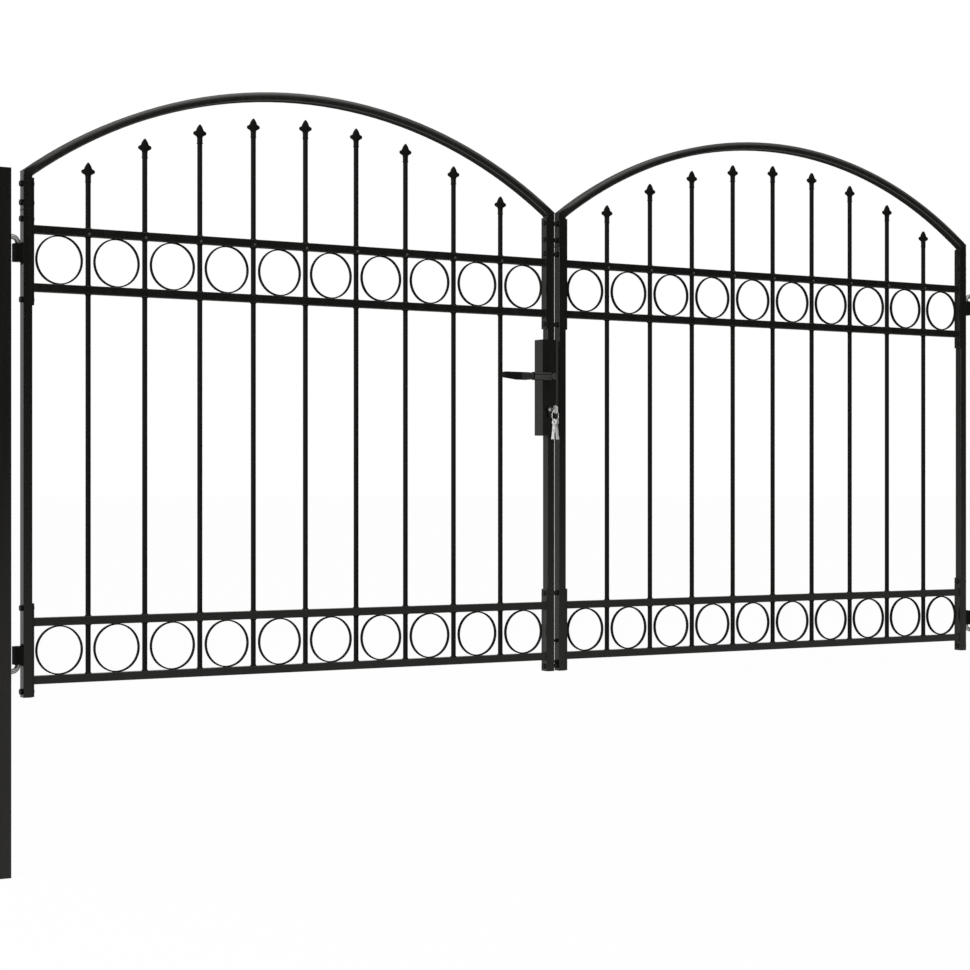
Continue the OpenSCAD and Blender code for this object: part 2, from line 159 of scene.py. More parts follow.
# Hook bolts
THREAD_SIDES = 24
THREAD_RINGS = 40
THREAD_PITCH = 1.75 * MM
THREAD_DEPTH = 0.7 * MM
THREAD_PLAY = 0.05 * MM
THREAD_END = 0.6 * MM
WASHER_SIDES = 32
WASHER = [(13 * MM, -SUNK), (13 * MM, 1.6 * MM), (12.4 * MM, 2.2 * MM), (HOOK_R, 2.2 * MM)]

# Lever and lock: outlines and places from the lever's axis; half height, corner and level of a panel
GRIP = [(-100, -10.2), (-110, -10.2), (-148, -5.7), (-150.6, -4.4), (-151.4, -2.3), (-151.4, 4.7)]
GRIP = np.array(GRIP + [(-150.6, 7.0), (-148, 8.3), (-100, 8.3)]) * MM
GRIP_SPINE = (-145 * MM, -106 * MM)
NECK = [(-62.5, -8.3), (-81.5, -10.2), (-99.5, -10.2), (-99.5, 8.3), (-81.5, 8.3), (-62.5, 6.8)]
NECK = np.array(NECK) * MM
NECK_SPINE = (-93 * MM, -69 * MM)
MIDLINE_X = np.array([-145, -106, -69]) * MM
MIDLINE_Z = np.array([1.3, -0.9, -0.8]) * MM
LEVER_DEEP = 6.5 * MM
LEVER_HALF = 6.3 * MM
LEVER_CROWN = 2.0 * MM
PANEL_BACK = 35.0 * MM
PANEL_HALF = 25.5 * MM
PANEL_EDGE = [(0, -SUNK), (0, 0.5 * MM), (0.5 * MM, 1.0 * MM)]
UPPER_PANEL = (2.5 * MM, 1.0 * MM, 7.0 * MM)
LOWER_PANEL = (6.1 * MM, 1.4 * MM, -3.4 * MM)
BOSS_ACROSS = 18.0 * MM
BOSS_TALL = 2.0 * MM
BOSS_ROWS = 8
KEY_PLUG_SIDES = 28
KEY_PLUG = [(4.2 * MM, -SUNK), (4.2 * MM, 0.3 * MM), (3.8 * MM, 0.7 * MM), (2 * MM, 0.7 * MM)]
SCREW_SIDES = 18
SCREW_HEAD = [(3.6 * MM, -SUNK), (3.6 * MM, 0.2 * MM), (2.6 * MM, 1.0 * MM), (1.2 * MM, 1.0 * MM)]
SCREW_IN = 12.0 * MM
SCREW_UP = 14.0 * MM


# Shader sockets
class Wire:
    """A shader socket whose operators add Math nodes, and whose node method adds any other node."""

    def __init__(self, tree, socket=None):
        self.tree = tree
        self.socket = socket

    def node(self, kind, settings=None, inputs=None, out=0):
        """Adds a node of that type: its settings first, then the values or links of its sockets."""
        made = self.tree.nodes.new(kind)
        for name, value in (settings or {}).items():
            if name == "stops":
                self.set_stops(made.color_ramp, value)
            else:
                setattr(made, name, value)
        for name, value in (inputs or {}).items():
            if isinstance(value, Wire):
                self.tree.links.new(value.socket, made.inputs[name])
            else:
                made.inputs[name].default_value = value
        return Wire(self.tree, made.outputs[out] if made.outputs else None)

    @staticmethod
    def set_stops(ramp, stops):
        """Sets a ramp's two stops, each a (place, grey)."""
        for element, (place, grey) in zip(ramp.elements, stops):
            element.position = place
            element.color = (grey, grey, grey, 1.0)

    def math(self, operation, left, right):
        """Adds a Math node."""
        return self.node("ShaderNodeMath", {"operation": operation}, {0: left, 1: right})

    def __add__(self, other):
        return self.math("ADD", self, other)

    def __radd__(self, other):
        return self.math("ADD", other, self)

    def __sub__(self, other):
        return self.math("SUBTRACT", self, other)

    def __mul__(self, other):
        return self.math("MULTIPLY", self, other)

    def __rmul__(self, other):
        return self.math("MULTIPLY", other, self)


def new_material(name):
    """An empty node material, and a Wire to build its nodes on."""
    material = bpy.data.materials.new(name)
    material.use_nodes = True
    material.node_tree.nodes.clear()
    return material, Wire(material.node_tree)


def finish_material(wire, surface):
    """Links a shader to the material's output."""
    wire.node("ShaderNodeOutputMaterial", None, {"Surface": surface})


def grain(wire, scale, detail=2.0, stretch=(1.0, 1.0, 1.0)):
    """Noise over the piece's own Object coordinates, 0 to 1, stretched along an axis by a small factor."""
    at = wire.node("ShaderNodeTexCoord", out=3)
    at = wire.node("ShaderNodeVectorMath", {"operation": "MULTIPLY"}, {0: at, 1: stretch})
    return wire.node("ShaderNodeTexNoise", None, {"Vector": at, "Scale": scale, "Detail": detail})


def ramped(wire, value, stops):
    """A value through the (place, grey) stops of a ramp."""
    return wire.node("ShaderNodeValToRGB", {"stops": stops}, {"Fac": value})


def blend_colour(wire, factor, dark, light):
    """Mix of two colours, each fixed or a Wire, by a factor."""
    ends = [one if isinstance(one, Wire) else (*one, 1.0) for one in (dark, light)]
    return wire.node(
        "ShaderNodeMix", {"data_type": "RGBA"}, {"Factor": factor, 6: ends[0], 7: ends[1]}, out=2
    )


# Finishes: scales of the grain, (place, grey) stops of the ramps, and changes of roughness
CLOUD_SCALE = 7.0
RUN_SCALE = 60.0
RUN_STRETCH = (1.0, 1.0, 0.06)
SKIN_SCALE = 420.0
SKIN_DEPTH = 0.3 * MM
SKIN_STRENGTH = 0.05
PATCHY = [(0.35, 0.2), (0.65, 1.0)]
FACING_UP = [(0.55, 0.0), (0.95, 1.0)]
FACING_DOWN = [(0.30, 0.0), (0.60, 1.0)]
CLOUD_SHARE = 0.6
RUN_DULL = 0.16
DUST_DULL = 0.12
BELOW_DULL = 0.50
PLATE_DULL = 0.20
WARM_GLOSS = (1.0, 0.98, 0.93, 1.0)


def coated_steel(name, dark, light, dust, rough, ior):
    """Powder coat: a near-black film with faint clouds and rain runs down the faces, dusty where it faces up
    and dull where it faces down."""
    material, wire = new_material(name)
    cloud = grain(wire, CLOUD_SCALE, 3.0)
    runs = grain(wire, RUN_SCALE, 2.0, RUN_STRETCH)
    skin = grain(wire, SKIN_SCALE, 1.0)
    facing = wire.node("ShaderNodeNewGeometry", out=1)
    up = wire.node("ShaderNodeSeparateXYZ", None, {"Vector": facing}, out=2)
    settled = ramped(wire, up, FACING_UP) * ramped(wire, cloud, PATCHY)
    below = ramped(wire, -1.0 * up, FACING_DOWN)
    film = blend_colour(wire, CLOUD_SHARE * cloud + (1 - CLOUD_SHARE) * runs, dark, light)
    relief = {"Strength": SKIN_STRENGTH, "Distance": SKIN_DEPTH, "Height": skin}
    shader = wire.node(
        "ShaderNodeBsdfPrincipled",
        None,
        {
            "Base Color": blend_colour(wire, settled, film, dust),
            "Roughness": rough + RUN_DULL * (runs - 0.5) + DUST_DULL * settled + BELOW_DULL * below,
            "IOR": ior,
            "Specular Tint": WARM_GLOSS,
            "Normal": wire.node("ShaderNodeBump", None, relief),
        },
    )
    finish_material(wire, shader)
    return material


def plated_metal(name, dark, light, rough, scale):
    """Zinc or nickel plate: bright metal with soft cloudy changes of tone and gloss."""
    material, wire = new_material(name)
    cloud = grain(wire, scale, 4.0)
    shader = wire.node(
        "ShaderNodeBsdfPrincipled",
        None,
        {
            "Base Color": blend_colour(wire, cloud, dark, light),
            "Metallic": 1.0,
            "Roughness": rough + PLATE_DULL * (cloud - 0.5),
        },
    )
    finish_material(wire, shader)
    return material


# Dark and light tone and dust of a coat, then its roughness and index of refraction; dark and light tone,
# roughness and grain of a plate
BLACK = [(0.0042, 0.0041, 0.0037), (0.0085, 0.0083, 0.0075), (0.020, 0.019, 0.017)]
GREY = [(0.028, 0.027, 0.025), (0.040, 0.039, 0.036), (0.045, 0.044, 0.041)]
FINISHES = {
    "black_coat": coated_steel("black_coat", *BLACK, 0.50, 1.22),
    "lever_black": coated_steel("lever_black", *GREY, 0.45, 1.35),
    "zinc": plated_metal("zinc", (0.24, 0.24, 0.23), (0.42, 0.42, 0.40), 0.42, 60.0),
    "lock_metal": plated_metal("lock_metal", (0.03, 0.03, 0.03), (0.06, 0.06, 0.06), 0.34, 90.0),
    "key_metal": plated_metal("key_metal", (0.54, 0.54, 0.53), (0.74, 0.74, 0.72), 0.30, 120.0),
}
TUBE_COAT = coated_steel("tube_coat", *BLACK, 0.24, 1.36)
BENT_COAT = coated_steel("bent_coat", *BLACK, 0.22, 1.65)
MATT_COAT = coated_steel("matt_coat", *BLACK, 0.70, 1.14)
# Lighter copy of the black coat for the lever's neck: painted light, standing in for light falling on the
# neck
NECK_PAINTED_LIGHT_COAT = coated_steel("neck_painted_light_coat", (0.012, 0.012, 0.011), (0.018, 0.018, 0.016), GREY[2], 0.45, 1.30)


# Surfaces
LEAST_CORNER = 0.2
CUSHION_TOP = 0.06
UPRIGHT = 0.9


def grid_faces(rows, columns, ring=False):
    """Corner indices of a grid whose columns close into a ring, and with ring its rows too."""
    row, column = np.meshgrid(np.arange(rows - (0 if ring else 1)), np.arange(columns), indexing="ij")
    beside = (column + 1) % columns
    above = (row + 1) % rows
    corners = [row * columns + column, row * columns + beside]
    corners += [above * columns + beside, above * columns + column]
    return np.stack(corners, axis=-1).reshape(-1, 4)


def capped(rings):
    """A closed surface through rings of points, foot first, each end closed by one face."""
    rows, columns = rings.shape[:2]
    rim = np.arange(columns)
    ends = np.array([rim[::-1], rim + (rows - 1) * columns])
    return rings.reshape(-1, 3), [grid_faces(rows, columns), ends]


def turned(profile, sides, across=None):
    """A closed surface turned about +Z: each (radius, height) of the profile swept round in equal steps.

    With across, the radius at an angle is the lesser of the profile's and the flat side of a hexagon,
    half its width across flats over the cosine of the angle from the nearest flat.
    """
    profile = np.asarray(profile, float)
    angle = np.arange(sides) * 2 * math.pi / sides
    radius = np.repeat(profile[:, :1], sides, axis=1)
    if across:
        from_flat = np.mod(angle, math.pi / 3) - math.pi / 6
        radius = np.minimum(radius, across / 2 / np.cos(from_flat))
    height = np.repeat(profile[:, 1:], sides, axis=1)
    return capped(np.stack([radius * np.cos(angle), radius * np.sin(angle), height], axis=-1))


def round_rectangle(half_x, half_y, corner, steps=4):
    """Points and outward directions round a rectangle with quarter-circle corners, anticlockwise."""
    turn = np.linspace(0, math.pi / 2, steps + 1)
    angle = (np.arange(4)[:, None] * math.pi / 2 + turn).ravel()
    sign_x = np.repeat([1, -1, -1, 1], steps + 1)
    sign_y = np.repeat([1, 1, -1, -1], steps + 1)
    out = np.stack([np.cos(angle), np.sin(angle)], axis=1)
    centre = np.stack([sign_x * (half_x - corner), sign_y * (half_y - corner)], axis=1)
    return centre + corner * out, out


def pad(half_x, half_y, corner, profile):
    """A plate with round corners: its outline at each (inset, height) of the profile, foot first."""
    rings = []
    for inset, height in profile:
        bend = max(corner - inset, corner * LEAST_CORNER)
        outline = round_rectangle(half_x - inset, half_y - inset, bend)[0]
        rings.append(np.column_stack([outline, np.full(len(outline), height)]))
    return capped(np.array(rings))


def dab(half_x, half_y, tall, sides=14, rows=7):
    """A drop of weld: half an ellipsoid whose radius swells and shrinks around it, by 7 percent three times
    and by 4 percent five times, with a foot below the surface it sits on."""
    turn = np.linspace(0, NEAR_TOP, rows)
    angle = np.arange(sides) * 2 * math.pi / sides
    wave = 1 + 0.07 * np.sin(3 * angle + 0.6) + 0.04 * np.sin(5 * angle)
    radius = np.concatenate([[1.0], np.cos(turn)])[:, None] * wave
    height = np.concatenate([[-SUNK], tall * np.sin(turn)])
    height = np.repeat(height[:, None], sides, axis=1)
    return capped(np.stack([half_x * radius * np.cos(angle), half_y * radius * np.sin(angle), height], -1))


def bead(path, out, radius, sides=8):
    """A weld run along a closed path: a circle carried round it, in the plane of the outward direction and
    its cross product with the path's direction."""
    along = np.roll(path, -1, axis=0) - np.roll(path, 1, axis=0)
    along /= np.linalg.norm(along, axis=1, keepdims=True)
    side = np.cross(along, out)
    angle = np.arange(sides) * 2 * math.pi / sides
    reach = np.cos(angle)[None, :, None] * out[:, None] + np.sin(angle)[None, :, None] * side[:, None]
    points = path[:, None] + radius * reach
    return points.reshape(-1, 3), [grid_faces(len(path), sides, ring=True)]


def cushion(outline, spine, half, crown, rows=6):
    """A crowned cast face on both sides of a flat blade in X and Z, whose outline runs clockwise.

    Each point of the outline is drawn towards its own point of the spine by a share t from 1 to nearly 0,
    and half the thickness grows by crown times 1 - t squared. The sides meet in a rim inside the blade.
    """
    share = np.linspace(1, CUSHION_TOP, rows)
    swell = half + crown * (1 - share**2)
    flat = spine + share[:, None, None] * (outline - spine)
    depth = np.repeat(swell[:, None], len(outline), axis=1)
    front = np.stack([flat[..., 0], -depth, flat[..., 1]], axis=-1)
    back = np.stack([flat[..., 0], depth, flat[..., 1]], axis=-1)
    return capped(np.concatenate([front[::-1], back]))


def resampled(corners, count):
    """A count of points at equal steps along a closed outline."""
    corners = np.asarray(corners, float)
    closed = np.concatenate([corners, corners[:1]])
    run = np.concatenate([[0], np.cumsum(np.linalg.norm(np.diff(closed, axis=0), axis=1))])
    at = np.arange(count) * run[-1] / count
    return np.stack([np.interp(at, run, closed[:, k]) for k in (0, 1)], axis=1)


def set_on(shape, places, axes):
    """Copies of a shape with its foot at each place and its +Z along each axis.

    The other two directions come from cross products of the axis with an upright or, on an upright
    axis, with +X.
    """
    points, faces = shape
    places = np.atleast_2d(np.asarray(places, float))
    axes = np.broadcast_to(np.asarray(axes, float), places.shape)
    steep = np.abs(axes[:, 2:]) > UPRIGHT
    aside = np.cross(np.where(steep, [1.0, 0.0, 0.0], [0.0, 0.0, 1.0]), axes)
    aside /= np.linalg.norm(aside, axis=1, keepdims=True)
    across = np.cross(axes, aside)
    turn = np.stack([aside, across, axes], axis=1)
    moved = np.einsum("nk,ckj->cnj", points, turn) + places[:, None]
    shift = np.arange(len(places))[:, None, None] * len(points)
    return moved.reshape(-1, 3), [(part + shift).reshape(-1, part.shape[1]) for part in faces]


def shifted(shape, places):
    """Copies of a shape moved to each place without turning."""
    points, faces = shape
    places = np.atleast_2d(np.asarray(places, float))
    shift = np.arange(len(places))[:, None, None] * len(points)
    moved = (points[None] + places[:, None]).reshape(-1, 3)
    return moved, [(part + shift).reshape(-1, part.shape[1]) for part in faces]


def join(groups):
    """One set of points and faces from several."""
    points, faces, start = [], [], 0
    for group_points, group_faces in groups:
        points.append(group_points)
        faces += [part + start for part in group_faces]
        start += len(group_points)
    return np.concatenate(points), faces


def piece(name, shape, slot, body, smooth=True, finish=None):
    """A mesh object with its slot's finish or another, riding on a body of the gate."""
    points, faces = shape
    mesh = bpy.data.meshes.new(name)
    mesh.from_pydata(points.tolist(), [], [face for part in faces for face in part.tolist()])
    mesh.polygons.foreach_set("use_smooth", np.full(len(mesh.polygons), smooth))
    mesh.update()
    made = bpy.data.objects.new(name, mesh)
    bpy.context.scene.collection.objects.link(made)
    mesh.materials.append(finish or FINISHES[slot])
    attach(made, body)


# Places taken from the frame
def low(node):
    """Lowest corner of a node's box."""
    return np.array(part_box(node)[0])


def high(node):
    """Highest corner of a node's box."""
    return np.array(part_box(node)[1])


def spots(x, y, z):
    """Places from three coordinates, each one number or an array."""
    return np.stack([part.ravel() for part in np.broadcast_arrays(x, y, z)], axis=1).astype(float)


def bolt_heights(side):
    """Heights of the bolts in a stile: three by the arch leg's seam, one under the upper band, one over
    the lower band and one under the bottom rail."""
    seam = high(f"{side}_hinge_stile")[2]
    return np.array(
        [
            *(seam + SEAM_BOLTS),
            low(f"{side}_upper_bottom_rail")[2] - BOLT_UNDER_BAND,
            high(f"{side}_lower_top_rail")[2] + BOLT_OVER_BAND,
            low(f"{side}_lower_bottom_rail")[2] - BOLT_UNDER_RAIL,
        ]
    )


def stile_sides(side):
    """(outer face, inner face of the end plate, outward direction) in X of a leaf's two stiles."""
    outward = -1.0 if side == "left" else 1.0
    found = []
    for stile, sign in (("hinge", outward), ("meeting", -outward)):
        node = f"{side}_{stile}_stile"
        outer, inner = (low(node)[0], high(node)[0]) if sign < 0 else (high(node)[0], low(node)[0])
        plate = abs(high(f"{side}_upper_top_rail")[0] - inner)
        plate = min(plate, abs(low(f"{side}_upper_top_rail")[0] - inner))
        found.append((outer, inner - sign * plate, sign))
    return found


def columns_of(node):
    """Middle X and highest Z of each of a node's solids that stand apart in X."""
    solid = frame["nodes"][node].data
    points = np.empty(len(solid.vertices) * 3)
    solid.vertices.foreach_get("co", points)
    points = points.reshape(-1, 3)
    points = points[np.argsort(points[:, 0])]
    parts = np.split(points, np.flatnonzero(np.diff(points[:, 0]) > COLUMN_GAP) + 1)
    return np.array([((part[0, 0] + part[-1, 0]) / 2, part[:, 2].max()) for part in parts])


# Fixings
def hex_head(across, tall, edge):
    """Hexagon head: a straight wall, then a chamfer that the hexagon's corners are cut to."""
    corner = across / math.sqrt(3)
    rim, top = [across / 2 * share for share in HEX_TOP_SHARES]
    profile = [(corner, -SUNK), (corner, tall - edge), (rim, tall), (top, tall)]
    return turned(profile, HEX_SIDES, across)


def dome(across, tall, rows=6):
    """Round head: a quarter ellipse from the rim to near its crown."""
    turn = np.linspace(0, NEAR_TOP, rows)
    arc = np.stack([across / 2 * np.cos(turn), tall * np.sin(turn)], axis=1)
    return turned(np.concatenate([[[across / 2, -SUNK]], arc]), ROUND_SIDES)


def leaf_bolts(side):
    """Bolts through the stiles and end plates: hexagon heads outside and thin nuts inside."""
    heights = bolt_heights(side)
    head_shape = hex_head(HEX_ACROSS, HEX_TALL, HEX_EDGE)
    end_shape = hex_head(HEX_ACROSS, END_TALL, HEX_EDGE)
    groups = []
    for outer, inner, sign in stile_sides(side):
        groups.append(set_on(head_shape, spots(outer, 0, heights), (sign, 0, 0)))
        groups.append(set_on(end_shape, spots(inner, 0, heights), (-sign, 0, 0)))
    piece(f"{side}_leaf_bolts", join(groups), "black_coat", f"{side}_leaf", smooth=False)


def bar_rivets(side):
    """Round heads on both faces of the upper band's top rail, one at each bar, in the lighter grey coat as a
    painted highlight.
    """
    rail = f"{side}_upper_top_rail"
    bars = columns_of(f"{side}_bars")[:, 0]
    level = (low(rail)[2] + high(rail)[2]) / 2 - RIVET_DROP
    shape = dome(RIVET_ACROSS, RIVET_TALL)
    groups = [
        set_on(shape, spots(bars, low(rail)[1], level), (0, -1, 0)),
        set_on(shape, spots(bars, high(rail)[1], level), (0, 1, 0)),
    ]
    # The grey coat lightens the heads: a painted highlight for light caught on the domes
    piece(f"{side}_bar_rivets", join(groups), "lever_black", f"{side}_leaf")


def stop_pins():
    """Two stop pins on the meeting edge of the right leaf, beside the lower band."""
    heights = low("right_lower_bottom_rail")[2] + PIN_HEIGHTS
    places = spots(low("right_meeting_stile")[0], 0, heights)
    shape = set_on(dome(PIN_ACROSS, PIN_TALL), places, (-1, 0, 0))
    piece("meeting_stop_pins", shape, "black_coat", "right_leaf")


def stile_plugs(side):
    """Plugs in the open lower ends of the stiles, chamfered round the edge."""
    groups = []
    for stile in ("hinge", "meeting"):
        first, last = low(f"{side}_{stile}_stile"), high(f"{side}_{stile}_stile")
        half = (last - first) / 2 - PLUG_PLAY
        shape = pad(half[1], half[0], TUBE_EDGE, PLUG_EDGE)
        groups.append(set_on(shape, spots((first[0] + last[0]) / 2, 0, first[2]), (0, 0, -1)))
    piece(f"{side}_stile_plugs", join(groups), "lever_black", f"{side}_leaf", smooth=False)


# Welds
def bar_welds(side):
    """Fillets where each bar passes through a rail: a bulged ring whose foot lies on the rail."""
    bars = columns_of(f"{side}_bars")[:, 0]
    shape = turned(np.stack([FILLET_OUT + BAR_R, FILLET_UP], axis=1), ROUND_SIDES)
    groups = []
    for rail in RAILS:
        node = f"{side}_{rail}_rail"
        groups.append(set_on(shape, spots(bars, 0, high(node)[2]), (0, 0, 1)))
        if rail != "lower_bottom":
            groups.append(set_on(shape, spots(bars, 0, low(node)[2]), (0, 0, -1)))
    piece(f"{side}_bar_welds", join(groups), "black_coat", f"{side}_leaf", finish=MATT_COAT)


def ring_welds(side):
    """Drops of weld where each ring meets the rails above and below it."""
    bars = columns_of(f"{side}_bars")[:, 0]
    pitch = np.diff(bars).mean()
    rings = np.concatenate([bars - pitch / 2, bars[-1:] + pitch / 2])
    shape = dab(*RING_DROP)
    groups = []
    for band in ("upper", "lower"):
        groups.append(set_on(shape, spots(rings, 0, high(f"{side}_{band}_bottom_rail")[2]), (0, 0, 1)))
        groups.append(set_on(shape, spots(rings, 0, low(f"{side}_{band}_top_rail")[2]), (0, 0, -1)))
    piece(f"{side}_ring_welds", join(groups), "black_coat", f"{side}_leaf")


def sleeve_welds(side):
    """Heavy drops of weld on the hinge stile above and below each hinge sleeve."""
    outer, _, sign = stile_sides(side)[0]
    feet = [
        high(f"{side}_lower_bottom_rail")[2] + SLEEVE_LO,
        high(f"{side}_upper_bottom_rail")[2] + SLEEVE_HI,
    ]
    far = np.array([feet[0] + SLEEVE_H, feet[1]])
    near = np.array([feet[0], feet[1] + SLEEVE_H])
    groups = [
        set_on(dab(*FAR_DROP, ROUND_SIDES), spots(outer, 0, far), (sign, 0, 0)),
        set_on(dab(*NEAR_DROP, ROUND_SIDES), spots(outer, 0, near), (sign, 0, 0)),
    ]
    piece(f"{side}_sleeve_welds", join(groups), "black_coat", f"{side}_leaf")


def arch_circle(side):
    """Middle X, middle Z and outer radius of a leaf's arch, through its two corners and its crown, half the
    leaf's width, and half the sizes of its tube in X, Y and Z."""
    stiles = [f"{side}_hinge_stile", f"{side}_meeting_stile"]
    left = min(low(stile)[0] for stile in stiles)
    right = max(high(stile)[0] for stile in stiles)
    half = (right - left) / 2
    radius = (half**2 + ARCH_RISE**2) / (2 * ARCH_RISE)
    level = low(f"{side}_lower_bottom_rail")[2] + CORNER_Z + ARCH_RISE - radius
    size = (high(stiles[0]) - low(stiles[0])) / 2
    return (left + right) / 2, level, radius, half, size


def arch_crowns(side):
    """Rounded front and back of the bent tube.

    Across the tube, with t from -1 inside to 1 outside, the surface stands out by the crown times 1 - t
    squared on its outer half and 1 - t to the 24th on its flat inner half. Its foot lies inside the
    tube, and the section is carried round the arch's circle between the mitres, where it fades away.
    """
    middle, level, radius, half, size = arch_circle(side)
    centre_r = radius - size[0]
    reach = math.asin((half - size[0]) / centre_r) - MITRE_SHARE * size[0] / centre_r
    inner = END_SHARE * reach
    turn = np.concatenate([[-reach], np.linspace(-inner, inner, CROWN_RINGS), [reach]])[:, None]
    across = np.concatenate([CROWN_PLACES, [-1, 1]]) * (size[0] - TUBE_EDGE * EDGE_SHARE) + centre_r
    fade = 1 - (1 - np.clip((inner - np.abs(turn)) * centre_r / CROWN_FADE, 0, 1)) ** 2
    bulge = 1 - np.where(CROWN_PLACES > 0, CROWN_PLACES**2, CROWN_PLACES**24)
    crown = fade * CROWN * bulge - CROWN_SINK
    foot = np.full((len(turn), 2), -CROWN_FOOT)
    out = size[1] + np.concatenate([crown, foot], axis=1)
    rings = [middle + across * np.sin(turn), -out, level + across * np.cos(turn)]
    front = capped(np.stack(rings, axis=-1))
    rings[1] = -rings[1]
    back = capped(np.stack(rings, axis=-1)[::-1])
    piece(f"{side}_arch_crowns", join([front, back]), "black_coat", f"{side}_leaf", finish=BENT_COAT)


def frame_welds(side):
    """Weld runs round the tubes: the seams under the arch legs, the mitres and the ends of the rails."""
    groups = []
    middle, level, radius, half, size = arch_circle(side)
    outline, out = round_rectangle(size[0], size[1], TUBE_EDGE)
    away = np.column_stack([out, np.zeros(len(out))])
    middle_r = radius - size[0]
    drop = half - size[0]
    mitre_z = level + math.sqrt(middle_r**2 - drop**2)
    lean = math.tan((math.pi / 2 - math.asin(drop / middle_r)) / 2)
    seam_z = high(f"{side}_hinge_stile")[2]
    for sign in (1.0, -1.0):
        seam = np.column_stack([outline, np.full(len(outline), seam_z)])
        mitre = np.column_stack([outline, mitre_z - sign * lean * outline[:, 0]])
        centre = np.array([middle - sign * drop, 0, 0])
        groups += [bead(seam + centre, away, SEAM_RUN), bead(mitre + centre, away, MITRE_RUN)]
    for rail in RAILS:
        first, last = low(f"{side}_{rail}_rail"), high(f"{side}_{rail}_rail")
        ring, turn = round_rectangle(*((last - first)[1:] / 2), TUBE_EDGE)
        normal = np.column_stack([np.zeros(len(turn)), turn])
        raised = (first + last)[2] / 2
        for x in (first[0], last[0]):
            path = np.column_stack([np.full(len(ring), x), ring[:, 0], ring[:, 1] + raised])
            groups.append(bead(path, normal, RAIL_RUN))
    piece(f"{side}_frame_welds", join(groups), "black_coat", f"{side}_leaf")


# Spear heads
def spear_outline():
    """Right half of the blade from the tip down, then mirrored: an arc over the chord of the point, the
    round end of a barb, and the neck."""
    chord = np.array([POINT_HALF, -POINT_TALL])
    outward = np.array([POINT_TALL, POINT_HALF]) / np.linalg.norm(chord)
    share = np.linspace(0, POINT_SHARE, ARC_STEPS)
    point = share[:, None] * chord + (4 * POINT_BULGE * share * (1 - share))[:, None] * outward
    turn = np.radians(np.linspace(BARB_SPAN, -BARB_SPAN, ARC_STEPS))
    barb = np.stack([BARB_OUT + BARB_R * np.cos(turn), BARB_R * np.sin(turn) - BARB_DOWN], axis=1)
    neck = [(BAR_R, -drop) for drop in SPEAR_NECK]
    half = np.concatenate([point, [BARB_ROOT], barb, neck])
    mirrored = half[::-1][:-1] * [-1, 1]
    return resampled(np.concatenate([half, mirrored]), OUTLINE_POINTS)


def spear_faces(side):
    """Crowned faces of the cast spear heads, and weld runs round the foot and the lip of each socket."""
    tops = columns_of(f"{side}_spear_heads")
    outline = spear_outline()
    spine = np.column_stack([np.zeros(len(outline)), np.clip(outline[:, 1], *SPEAR_SPINE)])
    inside = spine + SPEAR_SHARE * (outline - spine)
    faces = cushion(inside, spine, BLADE_HALF - SPEAR_SINK, SPEAR_CROWN)
    tips = spots(tops[:, 0], 0, tops[:, 1])
    angle = np.arange(SOCKET_SIDES) * 2 * math.pi / SOCKET_SIDES
    round_bar = np.stack([np.cos(angle), np.sin(angle), np.zeros(SOCKET_SIDES)], axis=1)
    collar = bead(round_bar * SOCKET_R, round_bar, SOCKET_RUN)
    lip = bead(round_bar * SOCKET_R + [0, 0, SOCKET_TALL], round_bar, SOCKET_LIP)
    groups = [shifted(faces, tips)]
    groups += [shifted(part, tips - [0, 0, SPEAR_H - SOCKET_FOOT]) for part in (collar, lip)]
    piece(f"{side}_spear_faces", join(groups), "black_coat", f"{side}_leaf", finish=MATT_COAT)


# Hinges
def hook_threads(side):
    """Threaded ends and washers of the hook bolts.

    The thread's radius is the bolt's plus a triangle wave of the height over the pitch less the share of a
    turn, so its crest climbs as a helix.
    """
    node = f"{side}_hook_bolts"
    sign = -1.0 if side == "left" else 1.0
    post = f"{side}_post"
    face = low(post)[0] if side == "left" else high(post)[0]
    heights = np.array([low(node)[2] + NUT_R, high(node)[2] - NUT_R])
    angle = np.arange(THREAD_SIDES) * 2 * math.pi / THREAD_SIDES
    run = np.linspace(0, STUB_L - THREAD_END, THREAD_RINGS)[:, None]
    phase = np.mod(run / THREAD_PITCH - angle / (2 * math.pi), 1)
    radius = HOOK_R + THREAD_PLAY + THREAD_DEPTH * (1 - np.abs(2 * phase - 1))
    height = np.repeat(run, THREAD_SIDES, axis=1)
    rings = np.stack([radius * np.cos(angle), radius * np.sin(angle), height], axis=-1)
    washer = turned(WASHER, WASHER_SIDES)
    groups = [
        set_on(capped(rings), spots(face + sign * NUT_T, 0, heights), (sign, 0, 0)),
        set_on(washer, spots(face, 0, heights), (sign, 0, 0)),
    ]
    piece(f"{side}_hook_threads", join(groups), "zinc", "posts")


